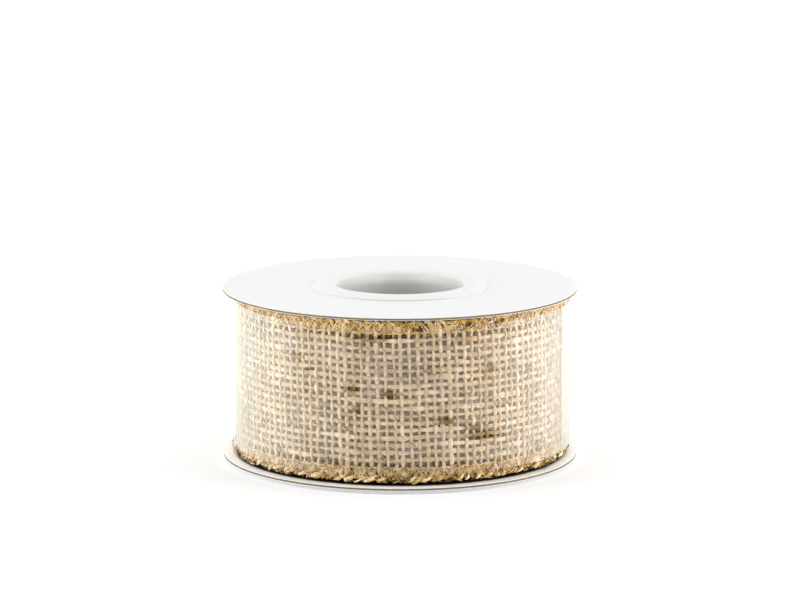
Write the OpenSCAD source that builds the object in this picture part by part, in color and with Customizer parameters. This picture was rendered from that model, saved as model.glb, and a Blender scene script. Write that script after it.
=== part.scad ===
// Ribbon spool: hessian ribbon with wired edges, wound on a board spool and wrapped in clear film.
// Millimetres, +Z up along the spool's axis. The origin is the centre of the face it stands on.

/* [Spool] */
// Diameter of both flanges
flange_d = 100; // [90:1:140]
// Overall height, over the crowned rims of the core liner
spool_h = 50; // [30:1:80]
// Diameter of the hole through the core
bore_d = 36.4; // [30:0.2:44]

/* [Flanges] */
// Thickness of the white paper on the outside of a flange
outer_facing_t = 0.15; // [0.1:0.05:0.3]
// Thickness of the grey board inside a flange
board_t = 0.5; // [0.4:0.05:1.5]
// Thickness of the white paper on the inside of a flange
inner_facing_t = 0.1; // [0.1:0.05:0.3]

/* [Core] */
// Wall thickness of the paper liner
liner_t = 0.4; // [0.3:0.05:0.6]
// Radius at which the liner turns over onto a flange
rim_bend_r = 1.2; // [0.9:0.1:2]
// Width of the turned rim, measured from the hole
rim_w = 6.5; // [5:0.5:8]
// Height of the rim's crown above the flange
rim_rise = 1; // [0.6:0.1:1.5]
// Wall thickness of the board tube
tube_t = 2.9; // [1.5:0.1:3]

/* [Ribbon] */
// Thickness of one layer of ribbon
ribbon_t = 0.95; // [0.6:0.05:1.5]
// Air between one layer and the next
layer_gap = 0.125; // [0.1:0.025:0.3]
// Height of the stitched binding on each edge
binding_h = 2.6; // [2:0.1:4]
// Thickness of the wire in each edge
wire_t = 0.35; // [0.3:0.05:0.5]
// Arc of the loose outer end of the ribbon, in degrees
tail_arc = 40; // [20:1:60]

/* [Film] */
// Thickness of the clear film
film_t = 0.12; // [0.1:0.02:0.2]
// Arc over which the end of the film lies on its own start, in degrees
film_lap = 18; // [10:1:30]

/* [Hidden] */
$fn = 240;

// Flanges and core
flange_r = flange_d / 2;
bore_r = bore_d / 2;
flange_t = outer_facing_t + board_t + inner_facing_t;
fit_gap = 0.05;
flange_hole_r = bore_r + liner_t + 4 * fit_gap;
flange_face_z = [rim_rise, spool_h - rim_rise];
inner_z = [flange_face_z[0] + flange_t, flange_face_z[1] - flange_t];
tube_r = [bore_r + liner_t + fit_gap, bore_r + liner_t + fit_gap + tube_t];

// The liner's rim: a quarter turn, a flat crown to stand on, and a slope down to a thin edge on the flange
crown_w = 2.5;
rim_edge_t = 0.35;
bend_steps = 8;

// Tape that holds the ribbon's first end to the core
tape_t = 0.1;
tape_h = 25;
tape_arc = 45;

// Ribbon: a spiral of half turns, struck in turn from two centres half a pitch apart
side_gap = 0.35;
ribbon_z = [inner_z[0] + side_gap, inner_z[1] - side_gap];
web_z = [ribbon_z[0] + binding_h + wire_t, ribbon_z[1] - binding_h - wire_t];
pitch = ribbon_t + layer_gap;
wound_r = tube_r[1] + fit_gap + 0.15;
overhang = 3.1;
half_turns = 2 * floor((flange_r - overhang - ribbon_t - wound_r) / pitch + 0.5);
last_r = wound_r + (half_turns - 1) * pitch / 2;
roll_r = last_r + ribbon_t;
tail_end_deg = 8;
tail_hinge_deg = tail_end_deg + tail_arc;
// The outer layer swings clear of the one below it, so it is thinner on its inner side
tail_lift = 0.3;
end_gap = 0.1;

// Film: the band stops short of the loose ribbon end, and the flap covers it
film_centre = [pitch / 2 * cos(tail_end_deg), pitch / 2 * sin(tail_end_deg)];
film_z = [ribbon_z[0] + 1.3, ribbon_z[1] - 2.3];
film_r = roll_r + 0.12;
flap_r = film_r + film_t + 0.25;
flap_hinge_deg = tail_hinge_deg + 2;
film_start_deg = tail_end_deg - 10;
flap_end_deg = film_start_deg - film_lap;

module ring(r_in, r_out, z) {
    translate([0, 0, z[0]])
        difference() {
            cylinder(r = r_out, h = z[1] - z[0]);
            translate([0, 0, -1])
                cylinder(r = r_in, h = z[1] - z[0] + 2);
        }
}

// Part of a ring, from one angle anticlockwise to another
module arc_wall(r_in, r_out, z, from, to) {
    rotate([0, 0, from])
        rotate_extrude(angle = to - from)
            translate([r_in, z[0]])
                square([r_out - r_in, z[1] - z[0]]);
}

// The wound ribbon runs clockwise outwards, and its loose end lies at tail_end_deg
module wound() {
    rotate([0, 0, tail_end_deg])
        mirror([0, 1, 0])
            children();
}

// Every half turn of the spiral but the loose end; rise is the depth of the strip in its layer
module spiral_roll(rise, t, z) {
    for (k = [0 : half_turns - 1])
        translate([k % 2 * pitch / 2, 0, 0])
            arc_wall(
                wound_r + k * pitch / 2 + rise,
                wound_r + k * pitch / 2 + rise + t,
                z,
                k % 2 * 180,
                k == half_turns - 1 ? 360 - tail_arc : k % 2 * 180 + 180
            );
}

module spiral_tail(rise, t, z) {
    gap_deg = end_gap / last_r * 180 / PI;
    translate([pitch / 2, 0, 0])
        arc_wall(last_r + rise, last_r + rise + t, z, 360 - tail_arc + gap_deg, 360);
}

module flange_layer(z) {
    ring(flange_hole_r, flange_r, z);
}

// Points of a quarter turn at one end of the liner, about [bore_r + rim_bend_r, z]
function bend(r, z, from, to) = [
    for (i = [0 : bend_steps])
        let (a = from + (to - from) * i / bend_steps)
            [bore_r + rim_bend_r + r * cos(a), z + r * sin(a)]
];

// Points of one rim outside its quarter turn, from the crown round the edge and back under it.
// face is the height of the flange's face, and up is 1 at the top of the spool and -1 at the bottom.
function rim(face, up) =
    let (
        crown_r = bore_r + rim_bend_r + crown_w,
        edge_r = bore_r + rim_w
    ) [
        [crown_r, face + up * rim_rise],
        [edge_r, face + up * rim_edge_t],
        [edge_r, face],
        [crown_r + liner_t, face],
        [crown_r - liner_t / 2, face + up * (rim_rise - liner_t)]
    ];

function reversed(points) = [for (i = [len(points) - 1 : -1 : 0]) points[i]];

module upper_flange_board() {
    color([0.52, 0.46, 0.38])
        flange_layer([inner_z[1] + inner_facing_t, inner_z[1] + inner_facing_t + board_t]);
}

module upper_flange_outer_facing() {
    color([0.96, 0.96, 0.97])
        flange_layer([flange_face_z[1] - outer_facing_t, flange_face_z[1]]);
}

module upper_flange_inner_facing() {
    color([0.93, 0.93, 0.93])
        flange_layer([inner_z[1], inner_z[1] + inner_facing_t]);
}

module lower_flange_board() {
    color([0.52, 0.46, 0.38])
        flange_layer([inner_z[0] - inner_facing_t - board_t, inner_z[0] - inner_facing_t]);
}

module lower_flange_outer_facing() {
    color([0.96, 0.96, 0.97])
        flange_layer([flange_face_z[0], flange_face_z[0] + outer_facing_t]);
}

module lower_flange_inner_facing() {
    color([0.93, 0.93, 0.93])
        flange_layer([inner_z[0] - inner_facing_t, inner_z[0]]);
}

module core_tube() {
    color([0.62, 0.58, 0.52])
        ring(tube_r[0], tube_r[1], inner_z);
}

module core_liner() {
    low = rim_bend_r;
    high = spool_h - rim_bend_r;
    inside_r = rim_bend_r - liner_t;
    color([0.9, 0.9, 0.9])
        rotate_extrude()
            polygon(concat(
                bend(rim_bend_r, high, 180, 90),
                rim(flange_face_z[1], 1),
                bend(inside_r, high, 90, 180),
                bend(inside_r, low, 180, 270),
                reversed(rim(flange_face_z[0], -1)),
                bend(rim_bend_r, low, 270, 180)
            ));
}

module core_start_tape() {
    color([0.85, 0.8, 0.65])
        wound()
            arc_wall(
                tube_r[1] + fit_gap,
                tube_r[1] + fit_gap + tape_t,
                [spool_h / 2 - tape_h / 2, spool_h / 2 + tape_h / 2],
                -tape_arc / 2,
                tape_arc / 2
            );
}

module jute_web_roll() {
    color([0.8, 0.71, 0.58])
        wound()
            spiral_roll(0, ribbon_t, web_z);
}

module jute_web_tail() {
    color([0.8, 0.71, 0.58])
        wound()
            spiral_tail(tail_lift, ribbon_t - tail_lift, web_z);
}

module upper_edge_binding_roll() {
    color([0.69, 0.55, 0.39])
        wound()
            spiral_roll(0, ribbon_t, [ribbon_z[1] - binding_h, ribbon_z[1]]);
}

module upper_edge_binding_tail() {
    color([0.69, 0.55, 0.39])
        wound()
            spiral_tail(tail_lift, ribbon_t - tail_lift, [ribbon_z[1] - binding_h, ribbon_z[1]]);
}

module lower_edge_binding_roll() {
    color([0.69, 0.55, 0.39])
        wound()
            spiral_roll(0, ribbon_t, [ribbon_z[0], ribbon_z[0] + binding_h]);
}

module lower_edge_binding_tail() {
    color([0.69, 0.55, 0.39])
        wound()
            spiral_tail(tail_lift, ribbon_t - tail_lift, [ribbon_z[0], ribbon_z[0] + binding_h]);
}

module upper_edge_wire_roll() {
    color([0.75, 0.75, 0.74])
        wound()
            spiral_roll(tail_lift, wire_t, [web_z[1], web_z[1] + wire_t]);
}

module upper_edge_wire_tail() {
    color([0.75, 0.75, 0.74])
        wound()
            spiral_tail(tail_lift, wire_t, [web_z[1], web_z[1] + wire_t]);
}

module lower_edge_wire_roll() {
    color([0.75, 0.75, 0.74])
        wound()
            spiral_roll(tail_lift, wire_t, [web_z[0] - wire_t, web_z[0]]);
}

module lower_edge_wire_tail() {
    color([0.75, 0.75, 0.74])
        wound()
            spiral_tail(tail_lift, wire_t, [web_z[0] - wire_t, web_z[0]]);
}

module film_band() {
    color([0.9, 0.92, 0.92, 0.4])
        translate(film_centre)
            arc_wall(film_r, film_r + film_t, film_z, flap_hinge_deg, film_start_deg + 360);
}

module film_flap() {
    color([0.9, 0.92, 0.92, 0.4])
        translate(film_centre)
            arc_wall(flap_r, flap_r + film_t, film_z, flap_end_deg, flap_hinge_deg);
}

upper_flange_board();
upper_flange_outer_facing();
upper_flange_inner_facing();
lower_flange_board();
lower_flange_outer_facing();
lower_flange_inner_facing();
core_tube();
core_liner();
core_start_tape();
jute_web_roll();
jute_web_tail();
upper_edge_binding_roll();
upper_edge_binding_tail();
lower_edge_binding_roll();
lower_edge_binding_tail();
upper_edge_wire_roll();
upper_edge_wire_tail();
lower_edge_wire_roll();
lower_edge_wire_tail();
film_band();
film_flap();
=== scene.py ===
"""Ribbon spool: open jute ribbon with wired, overlocked edges, wound on a white board spool under clear film.

Lengths are in millimetres, times MM wherever Blender needs metres, and angles are in degrees. A "wound" angle
runs along the ribbon from its start on the core, so it grows clockwise round the spool as seen from above. An
angle "round the spool" grows the other way, from the x axis.
"""

import bpy
import numpy as np
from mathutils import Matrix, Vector


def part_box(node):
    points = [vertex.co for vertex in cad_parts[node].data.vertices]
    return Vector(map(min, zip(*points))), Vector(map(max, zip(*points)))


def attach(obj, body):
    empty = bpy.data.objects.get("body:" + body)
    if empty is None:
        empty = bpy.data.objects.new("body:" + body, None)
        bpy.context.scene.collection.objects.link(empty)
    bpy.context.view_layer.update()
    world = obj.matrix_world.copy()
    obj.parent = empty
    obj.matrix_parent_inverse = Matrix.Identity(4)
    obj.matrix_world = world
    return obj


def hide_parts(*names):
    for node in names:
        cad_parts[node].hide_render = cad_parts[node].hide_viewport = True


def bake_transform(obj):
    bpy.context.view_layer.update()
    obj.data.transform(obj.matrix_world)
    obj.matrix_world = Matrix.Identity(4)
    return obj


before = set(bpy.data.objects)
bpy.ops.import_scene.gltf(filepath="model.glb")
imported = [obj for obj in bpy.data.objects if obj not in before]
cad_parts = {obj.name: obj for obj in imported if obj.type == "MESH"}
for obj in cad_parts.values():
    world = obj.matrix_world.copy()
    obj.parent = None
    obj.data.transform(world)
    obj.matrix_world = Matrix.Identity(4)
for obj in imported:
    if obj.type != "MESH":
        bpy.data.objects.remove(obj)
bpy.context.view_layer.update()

MM = 0.001
SEED = 20

# The spiral of part.scad: half turns struck in turn from two centres half a pitch apart
PITCH = 1.075
WOUND_R = 21.75
HALF_TURNS = 46
RIBBON_T = 0.95
TAIL_END_DEG = 8
TAIL_ARC = 40
WOUND_END = HALF_TURNS * 180
TAIL_START = WOUND_END - TAIL_ARC
SPIRAL_CENTRE = np.array([
    PITCH / 2 * np.cos(np.radians(TAIL_END_DEG)),
    PITCH / 2 * np.sin(np.radians(TAIL_END_DEG)),
])
OUTER_R = WOUND_R + (HALF_TURNS - 1) * PITCH / 2 + RIBBON_T / 2
DEG_PER_MM = np.degrees(1 / OUTER_R)

# Two turns are woven yarn by yarn, the outer one and the one below it, and the rest is a plain strip
OUTER_TURN_ARC = 364
OUTER_START = TAIL_START - OUTER_TURN_ARC
INNER_START = OUTER_START - 360

# Heights, from the CAD nodes' own boxes
RIBBON_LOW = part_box("lower_edge_binding_roll")[0].z / MM
RIBBON_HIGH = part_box("upper_edge_binding_roll")[1].z / MM
MIDDLE_Z = (RIBBON_LOW + RIBBON_HIGH) / 2
FILM_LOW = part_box("film_band")[0].z / MM
FILM_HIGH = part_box("film_band")[1].z / MM

# The film: how far it stands off the ribbon, how far its end stands off its start, and the angles round the
# spool of the line where its end is held, of that end and of its start
FILM_GAP = 0.18
LAP_RISE = 0.37
FILM_R = OUTER_R + RIBBON_T / 2 + FILM_GAP
FLAP_HINGE_DEG = 50
FLAP_END_DEG = -20
FILM_START_DEG = -2

# The ribbon's loose end starts to bend at this angle round the spool
TAIL_HINGE_DEG = TAIL_END_DEG + TAIL_ARC

# The weave: warp yarns run along the ribbon and weft yarns across it, and both rise and fall by CRIMP.
# WEFT_SHORT is how far a weft yarn's ends stay within the ribbon's edges, and WEFT_SPARE how many weft places
# are worked out beyond each end. The warp yarns sway up and down by values given every SWAY_STEP_DEG.
WARP_COUNT = 17
WARP_STEP = 2.075
WARP_FIRST = 8.675
WARP_WIDTH = 1.2
WARP_T = 0.45
WEFT_STEP_DEG = 2.769
WEFT_SKEW_DEG = 0.035
WEFT_WIDTH = 0.86
WEFT_T = 0.44
WEFT_SHORT = (2.2, 2)
WEFT_SPARE = 4
WARP_LIMITS = (0.65, 1.95)
WEFT_LIMITS = (0.5, 1.6)
YARN_T_LIMITS = (0.3, 0.5)
CRIMP = 0.235
SWAY_KNOTS = 64
SWAY_STEP_DEG = 13.0
SWAY_LEAD_DEG = 30

# The stitched edges: how wide each is, the slant of its fibres in radians, the room left at the flanges, and
# the place round the spool where the film presses the edges' strands flat
UPPER_BAND = 3.95
LOWER_BAND = 4.5
SLANT = 0.95
EDGE_ROOM = 0.35
PRESSED_DEG = -172
PRESSED_SPREAD = 28

# The wire in each edge, how far it lies from the stitches' inner line, and the upper one's bare end, which is
# at an angle round the spool and is a short arc long
WIRE_D = 0.35
WIRE_INSET = 0.8
BARE_WIRE_D = 0.6
BARE_END_DEG = -58
BARE_END_ARC = 2.2

# Places where the film clings to the ribbon, clear of its veil, and where the yarn under it is painted darker
# as painted shade; those above 45 mm are pockets of painted shade in the upper stitching, two of them by the
# bare wire: angle round the spool, height, and half sizes along the roll, in degrees, and up it
CLINGS_AND_SHADE_SPOTS = (
    (-107, 28.0, 3.4, 1.3), (-94, 27.0, 2.8, 1.3), (-75, 19.6, 3.8, 1.2), (-61, 14.5, 8, 1.1),
    (-65, 17, 4, 0.8), (-123, 32.4, 1.6, 0.8), (-128, 36, 3, 0.5), (-105, 22.7, 2, 0.9),
    (-101, 42.5, 6, 1.0), (-94, 43, 5, 0.8), (-58, 33, 2, 1.0), (-55.5, 45.6, 1.0, 0.6),
    (-52.5, 46.1, 1.1, 0.6), (-66, 45.7, 2.0, 0.5), (-84, 45.2, 2.5, 0.4), (100, 30, 5, 1.5),
    (160, 20, 7, 1.2), (172, 35, 4, 1.4), (75, 14, 4, 1.3), (135, 40, 8, 1.0),
)

# How much painted shade such a place gives the yarn there: the outer turn darkens to gold, the one below to
# near black
PAINTED_SHADE_OUTER = 0.52
PAINTED_SHADE_BELOW = 1.0

rng = np.random.default_rng(SEED)


def smooth(share):
    """A share from 0 to 1 that starts and ends gently."""
    return share * share * (3 - 2 * share)


def round_spool(wound):
    """The angle round the spool of a wound angle."""
    return TAIL_END_DEG - wound


def apart(angle, other):
    """The angle from other to angle, from -180 to 180."""
    return (angle - other + 180) % 360 - 180


def wander(rows, count, knots, amount):
    """Smooth random curves, one a row, each through its own random values at evenly spaced knots."""
    values = rng.normal(size=(rows, knots + 1)) * amount
    place = np.linspace(0, knots - 1e-6, count)
    left = place.astype(int)
    share = smooth(place - left)
    return values[:, left] * (1 - share) + values[:, left + 1] * share


def wind(angle, depth, height):
    """Points on the ribbon and the outward directions there; depth is the rise from its inner face."""
    angle, depth, height = np.broadcast_arrays(angle, depth, height)
    half_turn = np.clip(np.floor(angle / 180), 0, HALF_TURNS - 1)
    radius = WOUND_R + half_turn * PITCH / 2 + depth
    turn = np.radians(round_spool(angle))
    shift = (half_turn % 2)[..., None] * SPIRAL_CENTRE
    out = np.stack([np.cos(turn), np.sin(turn), np.zeros_like(turn)], -1)
    points = out * radius[..., None]
    points[..., :2] += shift
    points[..., 2] = height
    return points, out


# Meshes

def set_attribute(mesh, name, kind, key, values):
    """One value a point, which a material reads by its name."""
    mesh.attributes.new(name, kind, "POINT").data.foreach_set(key, values.reshape(-1).astype(np.float32))


def make_object(name, points, faces, grain=None, tint=None, smooth_faces=True):
    """A mesh object from points in millimetres, with the attributes that the yarn materials read."""
    mesh = bpy.data.meshes.new(name)
    mesh.from_pydata((points.reshape(-1, 3) * MM).tolist(), [], faces)
    if grain is not None:
        set_attribute(mesh, "grain", "FLOAT_VECTOR", "vector", grain)
    if tint is not None:
        set_attribute(mesh, "tint", "FLOAT", "value", tint)
    mesh.polygons.foreach_set("use_smooth", [smooth_faces] * len(mesh.polygons))
    mesh.validate()
    mesh.update()
    piece = bpy.data.objects.new(name, mesh)
    bpy.context.scene.collection.objects.link(piece)
    return piece


def grid_faces(columns, rows):
    """Quads over a grid of points, columns by rows."""
    column, row = np.meshgrid(np.arange(columns - 1), np.arange(rows - 1), indexing="ij")
    start = (column * rows + row).reshape(-1)
    return np.stack([start, start + rows, start + rows + 1, start + 1], -1).tolist()


def yarns(name, centre, out, width, thick, tint, sides=8, twist=1.7):
    """One mesh of many yarns: centre and out are (yarns, rings, 3), and width, thick and tint (yarns, rings).

    twist is how fast the grain turns round each yarn, in radians a millimetre.
    """
    grain_r = 0.4
    grain_span = 900
    count, rings = centre.shape[:2]
    along = np.gradient(centre, axis=1)
    step = np.linalg.norm(along, axis=-1, keepdims=True)
    along = along / np.maximum(step, 1e-9)
    out = out - (out * along).sum(-1, keepdims=True) * along
    out /= np.maximum(np.linalg.norm(out, axis=-1, keepdims=True), 1e-9)
    side = np.cross(along, out)
    turn = 2 * np.pi * (np.arange(sides) + 0.5) / sides
    reach = width[..., None, None] / 2 * np.cos(turn)[:, None]
    rise = thick[..., None, None] / 2 * np.sin(turn)[:, None]
    points = centre[:, :, None] + reach * side[:, :, None] + rise * out[:, :, None]

    length = np.cumsum(step[..., 0], axis=1)
    spin = turn + twist * length[..., None]
    offset = rng.uniform(0, grain_span, size=(count, 1, 1))
    grain = np.stack([
        np.broadcast_to(length[..., None] + offset, spin.shape),
        np.cos(spin) * grain_r,
        np.sin(spin) * grain_r,
    ], -1)

    yarn, ring, corner = np.meshgrid(np.arange(count), np.arange(rings - 1), np.arange(sides), indexing="ij")
    here = (yarn * rings + ring) * sides
    after = (corner + 1) % sides
    faces = np.stack(
        [here + corner, here + sides + corner, here + sides + after, here + after], -1
    ).reshape(-1, 4).tolist()
    first = np.arange(count)[:, None] * rings * sides + np.arange(sides)
    faces += first.tolist() + (first + (rings - 1) * sides)[:, ::-1].tolist()
    return make_object(name, points, faces, grain, np.repeat(tint, sides, axis=1))


# The weave

warp_z = WARP_FIRST + WARP_STEP * np.arange(WARP_COUNT) + rng.normal(size=WARP_COUNT) * 0.09
weft_count = int((WOUND_END - INNER_START) / WEFT_STEP_DEG) + 2 * WEFT_SPARE
weft_at = INNER_START - WEFT_SPARE * WEFT_STEP_DEG + WEFT_STEP_DEG * np.arange(weft_count)
weft_at = weft_at + rng.normal(size=weft_count) * 0.17
sway_knots = rng.normal(size=SWAY_KNOTS) * 0.16


def sway(angle):
    """How far the ribbon's warp yarns drift up or down together, along it."""
    place = (angle - INNER_START + SWAY_LEAD_DEG) / SWAY_STEP_DEG
    left = np.clip(place.astype(int), 0, SWAY_KNOTS - 2)
    share = smooth(place - left)
    return sway_knots[left] * (1 - share) + sway_knots[left + 1] * share


def cling_and_shade_at(angle, height):
    """How closely the film clings at an angle round the spool, and how deep the painted shade is there, from
    0 to 1.
    """
    total = 0.0 * (angle + height)
    for place, tall, half_arc, half_height in CLINGS_AND_SHADE_SPOTS:
        away = (apart(angle, place) / half_arc) ** 2 + ((height - tall) / half_height) ** 2
        total += np.exp(-(away ** 2))
    return np.clip(total, 0, 1)


def knots_for(start, end, every):
    """How many knots a curve from one angle to another needs to have one at every so many degrees."""
    return max(3, int((end - start) / every))


def yarn_size(slub, over, width, thick, limits):
    """Width and thickness of a yarn slub times as wide as usual, and a little wider where it is on top."""
    width = np.clip(width * slub * (1 + 0.08 * over), *limits)
    return width, np.clip(thick * (0.6 + 0.4 * slub), *YARN_T_LIMITS)


def warp_yarns(name, start, end, rings_per_cell, sides, cling_painted_shade, ragged=0.0):
    """The yarns that run along the ribbon, over one weft yarn and under the next.

    ragged is how far their ends differ, and the cling shade how much painted shade darkens them where the
    film clings.
    """
    rings = max(4, int((end - start) / WEFT_STEP_DEG * rings_per_cell))
    ends = end + rng.uniform(-ragged, ragged, size=(WARP_COUNT, 1)) * DEG_PER_MM
    angle = start + (ends - start) * np.linspace(0, 1, rings)
    drift = sway(angle) + wander(WARP_COUNT, rings, knots_for(start, end, 6), 0.1)
    height = warp_z[:, None] + drift
    cell = np.interp(angle - WEFT_SKEW_DEG * (height - MIDDLE_Z), weft_at, np.arange(weft_count))
    over = np.cos(np.pi * cell) * (-1.0) ** np.arange(WARP_COUNT)[:, None]
    slub = 1 + wander(WARP_COUNT, rings, knots_for(start, end, 5), 0.2)
    slub += wander(WARP_COUNT, rings, knots_for(start, end, 1.3), 0.12)
    width, thick = yarn_size(slub, over, WARP_WIDTH, WARP_T, WARP_LIMITS)
    points, out = wind(angle, RIBBON_T / 2 + CRIMP * over, height)
    tint = 0.5 + wander(WARP_COUNT, rings, knots_for(start, end, 7), 0.16)
    # Painted shade: the yarn is darker where the film clings
    tint -= cling_painted_shade * cling_and_shade_at(round_spool(angle), height)
    return yarns(name, points, out, width, thick, tint, sides)


def weft_yarns(name, start, end, rings, sides, cling_painted_shade):
    """The yarns that run across the ribbon, from one stitched edge to the other."""
    index = np.flatnonzero((weft_at >= start) & (weft_at < end))
    count = len(index)
    height = np.linspace(RIBBON_LOW + WEFT_SHORT[0], RIBBON_HIGH - WEFT_SHORT[1], rings)[None]
    angle = weft_at[index][:, None] + WEFT_SKEW_DEG * (height - MIDDLE_Z)
    angle = angle + wander(count, rings, 11, 0.13)
    cell = np.interp(height - sway(angle), warp_z, np.arange(WARP_COUNT))
    cell += np.minimum(height - warp_z[0], 0) / WARP_STEP + np.maximum(height - warp_z[-1], 0) / WARP_STEP
    over = -np.cos(np.pi * cell) * (-1.0) ** index[:, None]
    slub = 1 + np.abs(wander(count, 1, 2, 0.25)) - 0.1 + wander(count, rings, 12, 0.15)
    slub += wander(count, rings, 40, 0.11)
    width, thick = yarn_size(slub, over, WEFT_WIDTH, WEFT_T, WEFT_LIMITS)
    points, out = wind(angle, RIBBON_T / 2 + CRIMP * over, height)
    tint = 0.62 + wander(count, 1, 2, 0.1) + wander(count, rings, 10, 0.1)
    # Painted shade: the yarn is darker where the film clings
    tint -= cling_painted_shade * cling_and_shade_at(round_spool(angle), height)
    return yarns(name, points, out, width, thick, tint, sides)


def plain_strip(name, start, end, low, high, depth, step_deg):
    """A plain strip of the wound ribbon, one face thick, that darkens towards its edges as painted shade."""
    angle = np.arange(start, end, step_deg)[:, None]
    height = np.linspace(low, high, 25)[None]
    points, out = wind(angle, depth, height)
    grain = np.stack(np.broadcast_arrays(angle / DEG_PER_MM * 0.5, height, 0.0 * height), -1)
    from_edge = np.minimum(height - low, high - height) / 2.5
    tint = -0.5 + 0.8 * np.clip(from_edge, 0, 1) + 0 * angle
    return make_object(name, points, grid_faces(*points.shape[:2]), grain, tint)


# The stitched edges

# Rings of points along each stitch or tuft, and along each loose fibre
STRAND_RINGS = 9
FIBRE_RINGS = 7


def edge_band(name, start, end, low, high, depth, thick):
    """The rolled, matted jute that the overlock stitches hold, as one lumpy strip, tinted near the dark end
    of its jute as painted shade in the gaps between the stitches.
    """
    rings = max(6, int((end - start) / DEG_PER_MM / 0.9))
    angle = np.linspace(start, end, rings)[None]
    middle = (low + high) / 2 + wander(1, rings, max(4, rings // 6), 0.1)
    points, out = wind(angle, depth + wander(1, rings, max(4, rings // 4), 0.03), middle)
    lumps = max(4, rings // 3)
    width = high - low + wander(1, rings, lumps, 0.14)
    height = thick + wander(1, rings, lumps, 0.04)
    tint = 0.02 + wander(1, rings, lumps, 0.1)
    return yarns(name, points, out, width, height, tint, sides=12, twist=0)


def stitches(name, start, end, inner, outer, every, lean, depth, width):
    """Overlock stitches side by side, from the line inner to the ribbon's edge outer and round its back.

    every is how far apart they are and lean how far each one leans along the ribbon.
    """
    count = max(2, int((end - start) / DEG_PER_MM / every))
    at = np.linspace(start, end, count, endpoint=False)[:, None]
    at = at + rng.normal(size=(count, 1)) * 0.22 * every * DEG_PER_MM
    rings = STRAND_RINGS
    share = np.linspace(0, 1, rings)[None]
    first = inner + rng.normal(size=(count, 1)) * 0.1
    last = outer + np.sign(inner - outer) * np.abs(rng.normal(size=(count, 1))) * 0.25
    height = first + (last - first) * np.sin(np.minimum(share / 0.86, 1) * np.pi / 2) ** 1.15
    slant = lean + rng.normal(size=(count, 1)) * 0.3
    angle = at + slant * share * DEG_PER_MM
    arch = np.sin(np.pi * np.clip(share * 1.05, 0, 1)) ** 0.5
    rise = np.where(share > 0.9, 0.16, depth * arch + 0.22 * (1 - arch))
    rise = rise + wander(count, rings, 3, 0.03)
    slub = 1 + rng.normal(size=(count, 1)) * 0.2 + wander(count, rings, 4, 0.12)
    points, out = wind(np.clip(angle, start, end), np.clip(rise, 0.12, 0.82), height)
    size = np.clip(width * slub, 0.16, 0.8)
    tint = 0.5 + rng.normal(size=(count, 1)) * 0.2 + wander(count, rings, 3, 0.08)
    # Painted shade: the stitches darken where the film clings and in the dark pockets by the bare wire
    tint = tint - 0.8 * cling_and_shade_at(round_spool(angle), height)
    return yarns(name, points, out, size, np.minimum(size, 0.42), tint, sides=6, twist=3)


def chain(name, start, end, height):
    """The looper thread that locks the stitches along their inner line."""
    stitch_length = 1.45
    rings = int((end - start) / DEG_PER_MM / 0.3)
    angle = np.linspace(start, end, rings)[None]
    stitch = 2 * np.pi * angle / DEG_PER_MM / stitch_length
    rise = 0.7 + 0.1 * np.sin(stitch) + wander(1, rings, rings // 5, 0.04)
    points, out = wind(angle, rise, height + 0.16 * np.sin(stitch / 2) + wander(1, rings, rings // 4, 0.08))
    size = 0.52 + 0.14 * np.sin(stitch + 1) + wander(1, rings, rings // 3, 0.07)
    tint = 0.5 + wander(1, rings, rings // 4, 0.14)
    return yarns(name, points, out, size, size * 0.75, tint, sides=6, twist=3)


def edge_tufts(name, start, end, foot, inward, every, size, flare):
    """Short thick strands along the ribbon's very edge, each one lying over the next like the lay of a rope.

    inward is 1 where the ribbon lies above its edge and -1 where it lies below. flare is how far the strands
    stand out, except near the place where the film presses them flat.
    """
    count = max(2, int((end - start) / DEG_PER_MM / every))
    at = np.linspace(start, end, count)[:, None] + rng.normal(size=(count, 1)) * 0.5 * every * DEG_PER_MM
    rings = STRAND_RINGS
    share = np.linspace(0, 1, rings)[None]
    reach = size * rng.uniform(1.8, 6.2, size=(count, 1))
    hang = size * np.abs(rng.normal(size=(count, 1))) * 0.6
    lift = 1.5 * share ** 0.8 + wander(count, rings, 3, 0.1)
    height = foot + inward * size * lift - inward * hang * (1 - share)
    height = np.clip(height, RIBBON_LOW + EDGE_ROOM, RIBBON_HIGH - EDGE_ROOM)
    bow = np.sin(np.pi * np.clip(0.25 + 0.75 * share, 0, 1))
    from_pressed = apart(round_spool(at), PRESSED_DEG) / PRESSED_SPREAD
    flare = flare * (1 - 0.85 * np.exp(-(from_pressed ** 2)))
    rise = 0.5 + flare * rng.uniform(0.35, 1.12, size=(count, 1)) * bow
    points, out = wind(np.clip(at - reach * share * DEG_PER_MM, start, end), rise, height)
    taper = 0.3 + 0.7 * np.sin(np.pi * np.clip(0.12 + 0.8 * share, 0, 1))
    wide = size * taper * np.clip(1 + rng.normal(size=(count, 1)) * 0.35, 0.45, 1.7)
    tint = 0.48 + rng.normal(size=(count, 1)) * 0.28 + wander(count, rings, 3, 0.14)
    return yarns(name, points, out, wide, wide * 0.62, tint, sides=8, twist=2.6)


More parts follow.
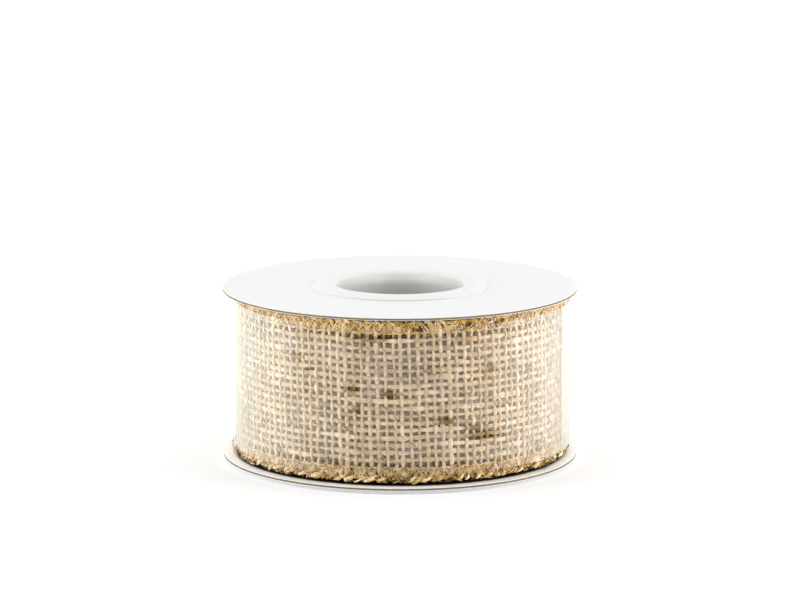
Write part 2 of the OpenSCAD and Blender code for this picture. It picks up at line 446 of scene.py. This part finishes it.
def fibres(name, start, end, low, high, count, top, heading, length, thick, sides=3, shades=0.27):
    """Loose single fibres over the ribbon.

    heading lists the directions they may take, in radians from along the ribbon. length and thick are ranges,
    top is the most they rise, and shades is how much their tints differ.
    """
    rings = FIBRE_RINGS
    share = np.linspace(-0.5, 0.5, rings)[None]
    at = rng.uniform(start, end, size=(count, 1))
    tall = rng.uniform(low, high, size=(count, 1))
    heading = rng.choice(heading, size=(count, 1)) + rng.normal(size=(count, 1)) * 0.5
    bow = rng.normal(size=(count, 1)) * 1.1
    size = rng.uniform(*length, size=(count, 1))
    along = size * (share * np.cos(heading) - bow * 0.5 * share * share * np.sin(heading))
    across = size * (share * np.sin(heading) + bow * 0.5 * share * share * np.cos(heading))
    rise = top - 0.5 * np.abs(wander(count, rings, 3, 0.45))
    angle = np.clip(at + along * DEG_PER_MM, start, end)
    points, out = wind(angle, np.clip(rise, 0.15, top), np.clip(tall + across, low, high))
    thick = rng.uniform(*thick, size=(count, 1)) * (1 - 1.2 * share * share)
    # Painted shade: the fibres darken where the film clings
    tint = 0.58 + rng.normal(size=(count, 1)) * shades - 0.5 * cling_and_shade_at(round_spool(angle), points[..., 2])
    return yarns(name, points, out, thick, thick, tint, sides=sides, twist=0)


# Materials

class Nodes:
    """A material's node tree, with short ways to add nodes and to join them."""

    def __init__(self, name):
        self.material = bpy.data.materials.new(name)
        self.material.use_nodes = True
        self.tree = self.material.node_tree
        self.shader = self.tree.nodes["Principled BSDF"]
        self.output = self.tree.nodes["Material Output"]

    def add(self, kind, **settings):
        node = self.tree.nodes.new(kind)
        for key, value in settings.items():
            setattr(node, key, value)
        return node

    def join(self, source, target):
        """Joins another node's output to a socket, or sets the socket to a number or a colour."""
        if isinstance(source, (int, float)):
            target.default_value = source
        elif isinstance(source, tuple):
            target.default_value = (*source, 1)
        else:
            self.tree.links.new(source, target)

    def set(self, **values):
        """Constant values on the shader's own sockets, such as roughness=0.5."""
        for key, value in values.items():
            socket = self.shader.inputs[key.replace("_", " ").title().replace("Ior", "IOR")]
            socket.default_value = value

    def attribute(self, name, output="Fac"):
        node = self.add("ShaderNodeAttribute", attribute_name=name)
        return node.outputs[output]

    def object_place(self):
        return self.add("ShaderNodeTexCoord").outputs["Object"]

    def coordinate(self, axis):
        """One coordinate of the object's own place, in metres."""
        split = self.add("ShaderNodeSeparateXYZ")
        self.join(self.object_place(), split.inputs["Vector"])
        return split.outputs[axis]

    def from_axis(self):
        """The distance from the spool's axis, in metres."""
        length = self.add("ShaderNodeVectorMath", operation="LENGTH")
        self.join(self.scaled(self.object_place(), (1, 1, 0)), length.inputs[0])
        return length.outputs["Value"]

    def from_middle(self):
        """The distance above or below the ribbon's middle height, in metres."""
        return self.maths("ABSOLUTE", self.maths("SUBTRACT", self.coordinate("Z"), MIDDLE_Z * MM))

    def scaled(self, vector, scale):
        node = self.add("ShaderNodeMapping")
        node.inputs["Scale"].default_value = scale
        self.join(vector, node.inputs["Vector"])
        return node.outputs["Vector"]

    def noise(self, vector, scale, detail=2.0, roughness=0.5):
        node = self.add("ShaderNodeTexNoise")
        node.inputs["Scale"].default_value = scale
        node.inputs["Detail"].default_value = detail
        node.inputs["Roughness"].default_value = roughness
        self.join(vector, node.inputs["Vector"])
        return node.outputs["Fac"]

    def ramp(self, value, *stops):
        node = self.add("ShaderNodeValToRGB")
        while len(node.color_ramp.elements) < len(stops):
            node.color_ramp.elements.new(0.5)
        for element, (place, colour) in zip(node.color_ramp.elements, stops):
            element.position = place
            element.color = (*colour, 1)
        self.join(value, node.inputs["Fac"])
        return node.outputs["Color"]

    def spread(self, value, low, high, new_low=0.0, new_high=1.0):
        node = self.add("ShaderNodeMapRange")
        for key, number in zip(("From Min", "From Max", "To Min", "To Max"), (low, high, new_low, new_high)):
            node.inputs[key].default_value = number
        self.join(value, node.inputs["Value"])
        return node.outputs["Result"]

    def vary(self, noise, low, high):
        """Noise as a value from low to high; nearly all of it lies between 0.3 and 0.7."""
        return self.spread(noise, 0.3, 0.7, low, high)

    def maths(self, operation, first, second=0.0):
        node = self.add("ShaderNodeMath", operation=operation)
        self.join(first, node.inputs[0])
        self.join(second, node.inputs[1])
        return node.outputs["Value"]

    def bump(self, height, strength, distance):
        """A bump node's normal; distance is in metres."""
        node = self.add("ShaderNodeBump")
        node.inputs["Strength"].default_value = strength
        node.inputs["Distance"].default_value = distance
        self.join(height, node.inputs["Height"])
        return node.outputs["Normal"]

    def mix(self, share, first, second):
        node = self.add("ShaderNodeMixShader")
        self.join(share, node.inputs["Fac"])
        self.join(first.outputs[0], node.inputs[1])
        self.join(second.outputs[0], node.inputs[2])
        return node

    def mix_colours(self, share, first, second):
        node = self.add("ShaderNodeMix", data_type="RGBA")
        colours = [socket for socket in node.inputs if socket.type == "RGBA"]
        self.join(share, node.inputs[0])
        self.join(first, colours[0])
        self.join(second, colours[1])
        return next(socket for socket in node.outputs if socket.type == "RGBA")

    def surface(self, colour, bumps=None):
        """Joins a colour and a bump to the shader."""
        self.join(colour, self.shader.inputs["Base Color"])
        if bumps:
            self.join(bumps, self.shader.inputs["Normal"])


# Jute from its dark flecks to its pale threads
JUTE = ((0.24, 0.138, 0.018), (0.685, 0.485, 0.278), (0.98, 0.81, 0.565))
JUTE_STOPS = (0.0, 0.42, 0.9)


def jute_material(name, shades, golden=None):
    """Jute: strands twisted round the yarn, each yarn its own shade, with darker flecks of bark.

    shades are its dark, middle and light colour. golden gives the four x where a thread starts and ends its
    change from plain jute to its own shades, and then its change back.
    """
    look = Nodes(name)
    grain = look.attribute("grain", "Vector")
    strands = look.noise(look.scaled(grain, (0.4, 3.4, 3.4)), 1.0, 3.0, 0.65)
    blotch = look.noise(look.scaled(grain, (0.5, 0.6, 0.6)), 1.0)
    shade = look.maths("ADD", look.vary(strands, -0.36, 0.36), look.attribute("tint"))
    shade = look.maths("ADD", shade, look.vary(blotch, -0.16, 0.16))
    colour = look.ramp(shade, *zip(JUTE_STOPS, shades))
    if golden:
        x = look.coordinate("X")
        left = look.spread(x, golden[0] * MM, golden[1] * MM, 1.0, 0.0)
        right = look.spread(x, golden[2] * MM, golden[3] * MM)
        plain = look.ramp(shade, *zip(JUTE_STOPS, JUTE))
        colour = look.mix_colours(look.maths("ADD", left, right), colour, plain)
    look.surface(colour, look.bump(strands, 0.7, 0.00018))
    look.set(roughness=0.85, specular_ior_level=0.25)
    return look.material


# Painted shade under the roll, near black, fades out between these distances from the axis, near the roll's
# own edge
ROLL_SHADE_EDGE = (46.2, 47.4)


def paper_material(name, colour, shadow, roughness, roll_shade=None):
    """Coated paper or tape: faint clouds of shade and a fine fibre grain.

    The last argument, if given, is the near black colour of painted shade on it under the roll's edge.
    """
    look = Nodes(name)
    place = look.object_place()
    clouds = look.ramp(look.noise(place, 60.0, 3.0), (0.3, shadow), (0.7, colour))
    if roll_shade:
        # Painted shade: near black under the roll's edge, fading out towards the rim
        in_roll_shade = look.spread(look.from_axis(), ROLL_SHADE_EDGE[0] * MM, ROLL_SHADE_EDGE[1] * MM, 1.0, 0.0)
        clouds = look.mix_colours(in_roll_shade, clouds, roll_shade)
    look.surface(clouds, look.bump(look.noise(place, 2600.0, 3.0), 0.25, 0.00004))
    look.set(roughness=roughness, specular_ior_level=0.2)
    return look.material


# The liner: heights from the ribbon's middle where it is greyest and at its lip, x where the hole's back and
# front give way to its sides, which are painted greyer as painted shade, and radii where the lip gives way to
# the flat ring
LINER_HEIGHTS = (18.5, 24.7)
LINER_SHADED_SIDES = (6, 16)
LINER_LIP = (18.6, 19.8)
LINER_WHITE = (0.715, 0.715, 0.72)


def liner_material(name):
    """The core's paper liner: white where it turns over the flange, and greyer further into the hole. Near
    the lip its back and front are painted brighter than the paper, as painted light, and its left and right
    sides greyer, as painted shade.
    """
    look = Nodes(name)
    place = look.object_place()
    mottle = look.vary(look.noise(place, 350.0, 3.0), -0.00012, 0.00012)
    low, high = LINER_HEIGHTS
    height = look.spread(look.maths("ADD", look.from_middle(), mottle), low * MM, high * MM)
    # Back and front: the band near the lip is painted brighter than the paper, a painted highlight
    back = look.ramp(
        height,
        (0.1, (0.58, 0.58, 0.55)),
        (0.4, (0.63, 0.63, 0.61)),
        (0.66, (0.94, 0.94, 0.93)),
        (0.8, (0.98, 0.98, 0.98)),
        (0.92, (0.88, 0.88, 0.88)),
        (1.0, (0.76, 0.76, 0.76)),
    )
    # Left and right sides: painted shade, greyer than the back
    side = look.ramp(
        height,
        (0.1, (0.5, 0.5, 0.48)),
        (0.45, (0.54, 0.54, 0.52)),
        (0.85, (0.68, 0.68, 0.67)),
    )
    from_centre = look.maths("ABSOLUTE", look.coordinate("X"))
    painted_side_shade = look.spread(from_centre, LINER_SHADED_SIDES[0] * MM, LINER_SHADED_SIDES[1] * MM)
    turned_over = look.spread(look.from_axis(), LINER_LIP[0] * MM, LINER_LIP[1] * MM)
    colour = look.mix_colours(turned_over, look.mix_colours(painted_side_shade, back, side), LINER_WHITE)
    look.surface(colour, look.bump(look.noise(place, 2200.0, 3.0), 0.25, 0.00004))
    look.set(roughness=0.8, specular_ior_level=0.1)
    return look.material


def board_material(name, dark, light):
    """Grey board: thin pressed layers that show at a cut edge, and flecks."""
    look = Nodes(name)
    place = look.object_place()
    layers = look.noise(look.scaled(place, (260.0, 260.0, 9000.0)), 1.0, 3.0)
    flecks = look.noise(place, 1500.0)
    shade = look.maths("ADD", look.vary(layers, 0.15, 0.85), look.vary(flecks, -0.2, 0.2))
    look.surface(look.ramp(shade, (0.15, dark), (0.85, light)), look.bump(layers, 0.5, 0.00006))
    look.set(roughness=0.9, specular_ior_level=0.2)
    return look.material


def wire_material(name):
    """Bright drawn steel wire, with fine scratches along it."""
    look = Nodes(name)
    grain = look.noise(look.scaled(look.attribute("grain", "Vector"), (0.4, 9.0, 9.0)), 1.0)
    look.surface(look.ramp(grain, (0.3, (0.6, 0.6, 0.61)), (0.7, (0.9, 0.9, 0.9))))
    look.join(look.vary(grain, 0.2, 0.4), look.shader.inputs["Roughness"])
    look.set(metallic=1.0)
    return look.material


# The film: how milky it is, the heights from the ribbon's middle between which the milk ends, how much of its
# cut edges shows, how much it mirrors where it is seen head on and edge on, and how sharply that changes
FILM_VEIL = 0.095
MILK_END = ((FILM_HIGH - FILM_LOW) / 2 - 5.5, (FILM_HIGH - FILM_LOW) / 2 - 3.5)
CUT_SHARE = 0.45
GLOSS_HEAD_ON = 0.03
GLOSS_EDGE_ON = 0.95
GLOSS_POWER = 1.8


def film_material(name):
    """Clear shrink film: glossy over a thin milky veil, and clear where it clings. Near its borders the veil
    fades, a painted reflection of the flanges' shaded undersides, and its cut edges are painted grey in place
    of how light shows them.

    Its attributes are tint, which is how closely it clings, and cut, which marks its cut edges.
    """
    look = Nodes(name)
    look.tree.nodes.remove(look.shader)
    place = look.object_place()
    clings = look.attribute("tint")

    haze = look.noise(place, 130.0, 3.0)
    cover = look.spread(clings, 0.0, 1.0, FILM_VEIL, 0.0)
    cover = look.maths("ADD", cover, look.vary(haze, -0.04, 0.04))
    # Painted reflection: the veil fades near the borders, where the film mirrors the flanges' shaded
    # undersides
    borders = look.spread(look.from_middle(), MILK_END[0] * MM, MILK_END[1] * MM, 1.0, 0.1)
    cover = look.maths("MULTIPLY", cover, borders)
    milk = look.add("ShaderNodeBsdfDiffuse")
    look.join(look.ramp(haze, (0.3, (0.93, 0.87, 0.76)), (0.7, (0.99, 0.94, 0.84))), milk.inputs["Color"])
    sheet = look.mix(cover, look.add("ShaderNodeBsdfTransparent"), milk)

    # Painted light: a grey line along the cut edges, in place of how light shows them
    cut = look.add("ShaderNodeBsdfDiffuse")
    look.join((0.42, 0.43, 0.42), cut.inputs["Color"])
    sheet = look.mix(look.maths("MULTIPLY", look.attribute("cut"), CUT_SHARE), sheet, cut)

    ripple = look.bump(look.noise(place, 420.0), 0.2, 0.0003)
    gloss = look.add("ShaderNodeBsdfGlossy")
    look.join(0.38, gloss.inputs["Roughness"])
    look.join((0.86, 0.865, 0.81), gloss.inputs["Color"])
    look.join(ripple, gloss.inputs["Normal"])
    slant = look.add("ShaderNodeLayerWeight")
    look.join(0.5, slant.inputs["Blend"])
    look.join(ripple, slant.inputs["Normal"])
    edge_on = look.maths("POWER", slant.outputs["Facing"], GLOSS_POWER)
    mirror = look.spread(edge_on, 0.0, 1.0, GLOSS_HEAD_ON, GLOSS_EDGE_ON)
    mirror = look.maths("MULTIPLY", mirror, look.spread(clings, 0.0, 1.0, 1.0, 0.15))
    look.join(look.mix(mirror, sheet, gloss).outputs["Shader"], look.output.inputs["Surface"])
    return look.material


jute = jute_material("jute_yarn", JUTE)
# A darker copy of the jute, as painted shade, for the turns and edges that lie below the outer turn, in its
# shade
jute_painted_shade = jute_material(
    "jute_yarn_painted_shade",
    ((0.014, 0.008, 0.003), (0.35, 0.24, 0.125), (0.62, 0.46, 0.28)),
)
jute_stitch_upper = jute_material(
    "jute_stitching_upper",
    ((0.06, 0.028, 0.004), (0.72, 0.41, 0.08), (1.0, 0.82, 0.52)),
    golden=(-38, -20, 18, 38),
)
jute_stitch_lower = jute_material(
    "jute_stitching_lower",
    ((0.05, 0.024, 0.003), (0.7, 0.415, 0.1), (1.0, 0.83, 0.54)),
    golden=(-36, -10, 90, 99),
)
# The flanges' facings are one paper. The inner facings get a lighter copy, painted light that lifts the
# roll's shade on them, with near black painted shade under the roll's edge.
white_paper = paper_material("white_paper", (0.72, 0.72, 0.725), (0.705, 0.705, 0.712), roughness=0.5)
inner_paper_painted_light = paper_material(
    "inner_paper_painted_light", (0.92, 0.92, 0.925), (0.9, 0.9, 0.908), roughness=0.42, roll_shade=(0.04, 0.028, 0.014),
)
tape = paper_material("tape", (0.78, 0.7, 0.5), (0.7, 0.61, 0.4), roughness=0.35)
liner_paper = liner_material("liner_paper")
grey_board = board_material("grey_board", (0.12, 0.086, 0.036), (0.28, 0.21, 0.095))
core_board = board_material("core_board", (0.2, 0.17, 0.14), (0.4, 0.35, 0.29))
steel_wire = wire_material("edge_wire")
film = film_material("clear_film")


# Build


def finish_still(piece, material, node):
    """Gives a piece that stays on the spool its material and body, and hides the CAD node it stands for."""
    piece.data.materials.append(material)
    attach(piece, "spool")
    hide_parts(node)


def finish_bending(piece, material, node, hinge_deg, radius):
    """For a piece that can bend away from the spool at a hinge line: gives it its material, bakes its place
    into its mesh and hides the CAD node it stands for.
    """
    turn = np.radians(hinge_deg)
    start = np.array([np.cos(turn), np.sin(turn), 0]) * radius
    start[:2] += SPIRAL_CENTRE
    start[2] = MIDDLE_Z
    piece.data.materials.append(material)
    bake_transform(piece)
    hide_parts(node)


def finish_ribbon(piece, material, node, part):
    """Finishes a piece of the ribbon: part roll with finish_still, and part tail, which can bend away from
    the roll, with finish_bending.
    """
    if part == "roll":
        finish_still(piece, material, f"{node}_{part}")
    else:
        finish_bending(piece, material, f"{node}_{part}", TAIL_HINGE_DEG, OUTER_R)


def ribbon_parts(tail_lead, tail_short):
    """The ribbon's two parts, with the wound angles where a piece starts and ends in each.

    The loose end's piece starts tail_lead past its hinge and stops tail_short before the ribbon's end.
    """
    return (
        ("roll", OUTER_START, TAIL_START),
        ("tail", TAIL_START + tail_lead, WOUND_END - tail_short),
    )


# The web's two woven turns and its loose end
roll_warp = warp_yarns("jute_warp_roll", OUTER_START, TAIL_START, rings_per_cell=5, sides=8, cling_painted_shade=PAINTED_SHADE_OUTER)
finish_ribbon(roll_warp, jute, "jute_web", "roll")
roll_weft = weft_yarns("jute_weft_roll", OUTER_START, TAIL_START, rings=90, sides=8, cling_painted_shade=PAINTED_SHADE_OUTER)
finish_ribbon(roll_weft, jute, "jute_web", "roll")
under_warp = warp_yarns(
    "jute_warp_layer_below", INNER_START, OUTER_START, rings_per_cell=3, sides=6, cling_painted_shade=PAINTED_SHADE_BELOW,
)
finish_ribbon(under_warp, jute_painted_shade, "jute_web", "roll")
under_weft = weft_yarns(
    "jute_weft_layer_below", INNER_START, OUTER_START, rings=60, sides=6, cling_painted_shade=PAINTED_SHADE_BELOW,
)
finish_ribbon(under_weft, jute_painted_shade, "jute_web", "roll")
tail_warp = warp_yarns(
    "jute_warp_tail", TAIL_START + 0.1, WOUND_END - 0.8,
    rings_per_cell=5, sides=8, cling_painted_shade=PAINTED_SHADE_OUTER, ragged=0.7,
)
finish_ribbon(tail_warp, jute, "jute_web", "tail")
tail_weft = weft_yarns("jute_weft_tail", TAIL_START, WOUND_END - 1.2, rings=90, sides=8, cling_painted_shade=PAINTED_SHADE_OUTER)
finish_ribbon(tail_weft, jute, "jute_web", "tail")

# Loose fibres over the web, a number chosen for each part
FUZZ = {"roll": 4200, "tail": 460}
for part, start, end in ribbon_parts(0, 1):
    fuzz = fibres(
        "jute_fuzz_" + part, start, end, RIBBON_LOW + 2, RIBBON_HIGH - 2, FUZZ[part], top=1.02,
        heading=(0, np.pi / 2), length=(1.2, 5.5), thick=(0.05, 0.11), shades=0.13,
    )
    finish_ribbon(fuzz, jute, "jute_web", part)

# The turns below the woven ones
wound = plain_strip(
    "jute_ribbon_wound_layers", 0, OUTER_START, RIBBON_LOW + 0.1, RIBBON_HIGH - 0.1, depth=0.1, step_deg=3,
)
finish_still(wound, jute_painted_shade, "jute_web_roll")


def stitched_edge(edge, material, line, inward, band, clear, tuft, flare, matting, wisps=0):
    """One edge of the ribbon, at the height line, with the ribbon above it or below it as inward is 1 or -1.

    band is how far the stitching reaches inward from the line, and clear the room outside it. tuft is how
    thick the strands along the edge are, and flare how far they stand out. matting and wisps are fibres a
    degree.
    """
    inner = line + inward * band
    foot = line + inward * clear
    chain_line = inner - inward * 0.1
    low, high = sorted((foot, inner - inward * 0.3))
    lean = -2.6 * inward
    node = edge + "_edge_binding"
    below = edge_band(
        edge + "_edge_layer_below", INNER_START, OUTER_START, low + 0.3, high - 0.3, depth=0.4, thick=0.6,
    )
    finish_ribbon(below, jute_painted_shade, node, "roll")
    for part, start, end in ribbon_parts(0.1, 0.6):
        name = f"{edge}_edge_%s_{part}"
        arc = end - start
        pieces = [
            edge_band(name % "band", start, end, low, high, depth=0.32, thick=0.4),
            stitches(
                name % "overlock", start, end, inner, foot,
                every=0.62, lean=lean, depth=0.66, width=0.4,
            ),
            stitches(
                name % "cross_stitch", start, end, chain_line, foot,
                every=1.3, lean=-lean, depth=0.78, width=0.36,
            ),
            chain(name % "chain", start, end, chain_line),
            fibres(
                name % "matted_fibres", start, end, low, high, int(arc * matting), top=0.95,
                heading=(SLANT, SLANT, -SLANT), length=(1.6, 3.8), thick=(0.16, 0.36), sides=4,
            ),
            edge_tufts(
                name % "tufts", start, end, foot, inward,
                every=1.5 * tuft + 0.4, size=tuft, flare=flare,
            ),
        ]
        if wisps:
            pieces.append(fibres(
                name % "wisps", start, end, foot - 0.4, foot + 1.2, int(arc * wisps), top=2.3,
                heading=(0, SLANT), length=(0.8, 3.4), thick=(0.06, 0.17), sides=4,
            ))
        for piece in pieces:
            finish_ribbon(piece, material, node, part)


stitched_edge(
    "upper", jute_stitch_upper, RIBBON_HIGH, -1, UPPER_BAND,
    clear=0.7, tuft=0.5, flare=0.2, matting=1.3,
)
stitched_edge(
    "lower", jute_stitch_lower, RIBBON_LOW, 1, LOWER_BAND,
    clear=1.1, tuft=0.74, flare=2.0, matting=2.4, wisps=1.6,
)


def wire(name, angle, depth, height, diameter, sides):
    """A round wire along the ribbon, through one point for each angle."""
    points, out = wind(angle, depth, height)
    size = np.full(angle.shape, diameter)
    return yarns(name, points, out, size, size, np.full(angle.shape, 0.5), sides, twist=0)


for edge, height in (
    ("upper", RIBBON_HIGH - UPPER_BAND + WIRE_INSET),
    ("lower", RIBBON_LOW + LOWER_BAND - WIRE_INSET),
):
    for part, start, end in ribbon_parts(0.1, 0.3):
        angle = np.linspace(start, end, int((end - start) / 1.2))[None]
        strand = wire(f"{edge}_steel_wire_{part}", angle, 0.3, height, WIRE_D, sides=8)
        finish_ribbon(strand, steel_wire, edge + "_edge_wire", part)

# A short bare end of the upper wire, bowed out where the stitching has parted
share = np.linspace(0, 1, 12)[None]
bare_end = wire(
    "upper_steel_wire_bare_end",
    TAIL_END_DEG - BARE_END_DEG + WOUND_END - 360 + BARE_END_ARC * (share - 0.5),
    0.8 + 0.5 * np.sin(np.pi * share),
    RIBBON_HIGH - 1.6 - 0.5 * share,
    BARE_WIRE_D,
    sides=10,
)
finish_ribbon(bare_end, steel_wire, "upper_edge_wire", "roll")


# Film

# The film has a narrow strip of faces along its cut edges, so that only the strip shows the cut. Its lower
# edge is cut FILM_LIFT above the CAD film's, and both edges waver over EDGE_KNOTS.
CUT_EDGE = 0.22
FILM_ROWS = 35
FILM_LIFT = 1.1
EDGE_KNOTS = 24


def inset(places, width):
    """Moves the second and the last but one place to within width of the ends, for a narrow strip there."""
    step = np.sign(places[-1] - places[0]) * width
    places[1] = places[0] + step
    places[-2] = places[-1] - step
    return places


def film_sheet(name, start, end, radius_at):
    """The clear film over an arc of the roll, one column a degree, creased and marked along its cut edges."""
    columns = int(abs(end - start))
    angle = inset(np.linspace(start, end, columns), CUT_EDGE * DEG_PER_MM)[:, None]
    share = inset(np.linspace(0, 1, FILM_ROWS), CUT_EDGE / (FILM_HIGH - FILM_LOW))[None]
    low = FILM_LOW + FILM_LIFT + wander(1, columns, EDGE_KNOTS, 0.12).T
    high = FILM_HIGH + wander(1, columns, EDGE_KNOTS, 0.15).T
    height = low + (high - low) * share
    crease = wander(FILM_ROWS, columns, max(6, columns // 5), 0.05).T + wander(columns, FILM_ROWS, 5, 0.05)
    turn = np.radians(angle)
    radius = radius_at(angle) + crease
    points = np.stack([
        SPIRAL_CENTRE[0] + radius * np.cos(turn),
        SPIRAL_CENTRE[1] + radius * np.sin(turn),
        height + 0 * turn,
    ], -1)
    piece = make_object(name, points, grid_faces(columns, FILM_ROWS), None, cling_and_shade_at(angle, height))
    # How much painted grey each cut edge gets: full at the ends, a quarter along the top and bottom
    cut = np.zeros((columns, FILM_ROWS))
    cut[:, [0, -1]] = 0.25
    cut[[0, -1]] = 1
    set_attribute(piece.data, "cut", "FLOAT", "value", cut)
    return piece


def band_radius(angle):
    """The film lies at one distance from the roll."""
    return FILM_R + 0 * angle


def flap_radius(angle):
    """The film's end rises from the band at the hinge, over 5 degrees, to lie over the band's start."""
    return FILM_R + LAP_RISE * smooth(np.clip((FLAP_HINGE_DEG - angle) / 5, 0, 1))


film_band = film_sheet("film_wrap_band", FLAP_HINGE_DEG, FILM_START_DEG + 360, band_radius)
finish_still(film_band, film, "film_band")
flap = film_sheet("film_wrap_flap", FLAP_HINGE_DEG, FLAP_END_DEG, flap_radius)
finish_bending(flap, film, "film_flap", FLAP_HINGE_DEG, FILM_R)

# CAD nodes that show as they are
SHOWN = {
    "upper_flange_outer_facing": white_paper,
    "upper_flange_inner_facing": inner_paper_painted_light,
    "lower_flange_outer_facing": white_paper,
    "lower_flange_inner_facing": inner_paper_painted_light,
    "upper_flange_board": grey_board,
    "lower_flange_board": grey_board,
    "core_tube": core_board,
    "core_liner": liner_paper,
    "core_start_tape": tape,
}
for node, material in SHOWN.items():
    for material_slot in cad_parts[node].material_slots:
        material_slot.material = material


# Floor, lights and camera, in metres

WHITE = (1, 1, 1)
FLOOR_HALF = 6
# Where the floor's glow starts and ends to change, from the spool's axis, and how strong it is
UNDER_SPOOL = (0.046, 0.053, 0.3)
FAR_FLOOR = (0.06, 0.9, 0.45)
LIGHT_TARGET = (0, 0, 0.03)


def add_floor():
    """A pale floor that glows a little under the spool, where its shade is too deep, and far off."""
    corners = np.array([[-1, -1, 0], [1, -1, 0], [1, 1, 0], [-1, 1, 0]]) * FLOOR_HALF / MM
    floor = make_object("floor", corners, [(0, 1, 2, 3)], smooth_faces=False)
    look = Nodes("floor")
    clouds = look.noise(look.object_place(), 3.0)
    look.surface(look.ramp(clouds, (0.3, (0.885, 0.895, 0.92)), (0.7, (0.905, 0.915, 0.94))))
    start, end, glow = UNDER_SPOOL
    under = look.spread(look.from_axis(), start, end, glow, 0.0)
    start, end, glow = FAR_FLOOR
    far = look.spread(look.from_axis(), start, end, 0.0, glow)
    look.join(look.maths("ADD", under, far), look.shader.inputs["Emission Strength"])
    look.join(WHITE, look.shader.inputs["Emission Color"])
    look.set(roughness=0.8)
    floor.data.materials.append(look.material)


def add_softbox(name, place, size, power, colour):
    """A soft box of light at place that faces the spool."""
    data = bpy.data.lights.new(name, "AREA")
    data.shape = "RECTANGLE"
    data.size, data.size_y = size
    data.energy = power
    data.color = colour
    light = bpy.data.objects.new(name, data)
    light.location = place
    light.rotation_euler = (Vector(LIGHT_TARGET) - Vector(place)).to_track_quat("-Z", "Y").to_euler()
    bpy.context.scene.collection.objects.link(light)


def make_world(front, back):
    """A studio that is bright behind and beside the spool and dimmer on the camera's side."""
    world = bpy.data.worlds.new("studio")
    world.use_nodes = True
    nodes = world.node_tree.nodes
    place = nodes.new("ShaderNodeTexCoord")
    split = nodes.new("ShaderNodeSeparateXYZ")
    spread = nodes.new("ShaderNodeMapRange")
    spread.inputs["From Min"].default_value = -1
    spread.inputs["From Max"].default_value = 0.6
    spread.inputs["To Min"].default_value = front
    spread.inputs["To Max"].default_value = back
    join = world.node_tree.links.new
    join(place.outputs["Generated"], split.inputs["Vector"])
    join(split.outputs["Y"], spread.inputs["Value"])
    join(spread.outputs["Result"], nodes["Background"].inputs["Strength"])
    nodes["Background"].inputs["Color"].default_value = (*WHITE, 1)
    bpy.context.scene.world = world


add_floor()
add_softbox("softbox_left", (-0.95, -0.12, 0.3), size=(0.7, 0.5), power=6.5, colour=(0.97, 1.0, 0.95))
add_softbox("softbox_right", (0.95, -0.12, 0.3), size=(0.7, 0.5), power=7.0, colour=(1.0, 0.975, 0.94))
add_softbox("softbox_top", (0, 0.1, 1.1), size=(1.2, 1.2), power=0.4, colour=WHITE)
make_world(front=0.52, back=1.2)
bpy.context.scene.view_settings.view_transform = "Standard"

# Where the camera stands, from a point half way up the spool, and its pitch, which sets the spool's place in
# view
CAMERA_DISTANCE = 1.2
CAMERA_CENTRE_Z = 0.025
CAMERA_ELEVATION = np.radians(11.39)
CAMERA_PITCH = np.radians(10.46)
camera_data = bpy.data.cameras.new("camera")
camera_data.lens = 190.7
camera_data.sensor_width = 36
camera_data.clip_end = 20
camera = bpy.data.objects.new("camera", camera_data)
camera.location = (
    0,
    -CAMERA_DISTANCE * np.cos(CAMERA_ELEVATION),
    CAMERA_CENTRE_Z + CAMERA_DISTANCE * np.sin(CAMERA_ELEVATION),
)
camera.rotation_euler = (np.pi / 2 - CAMERA_PITCH, 0, 0)
bpy.context.scene.collection.objects.link(camera)
bpy.context.scene.camera = camera
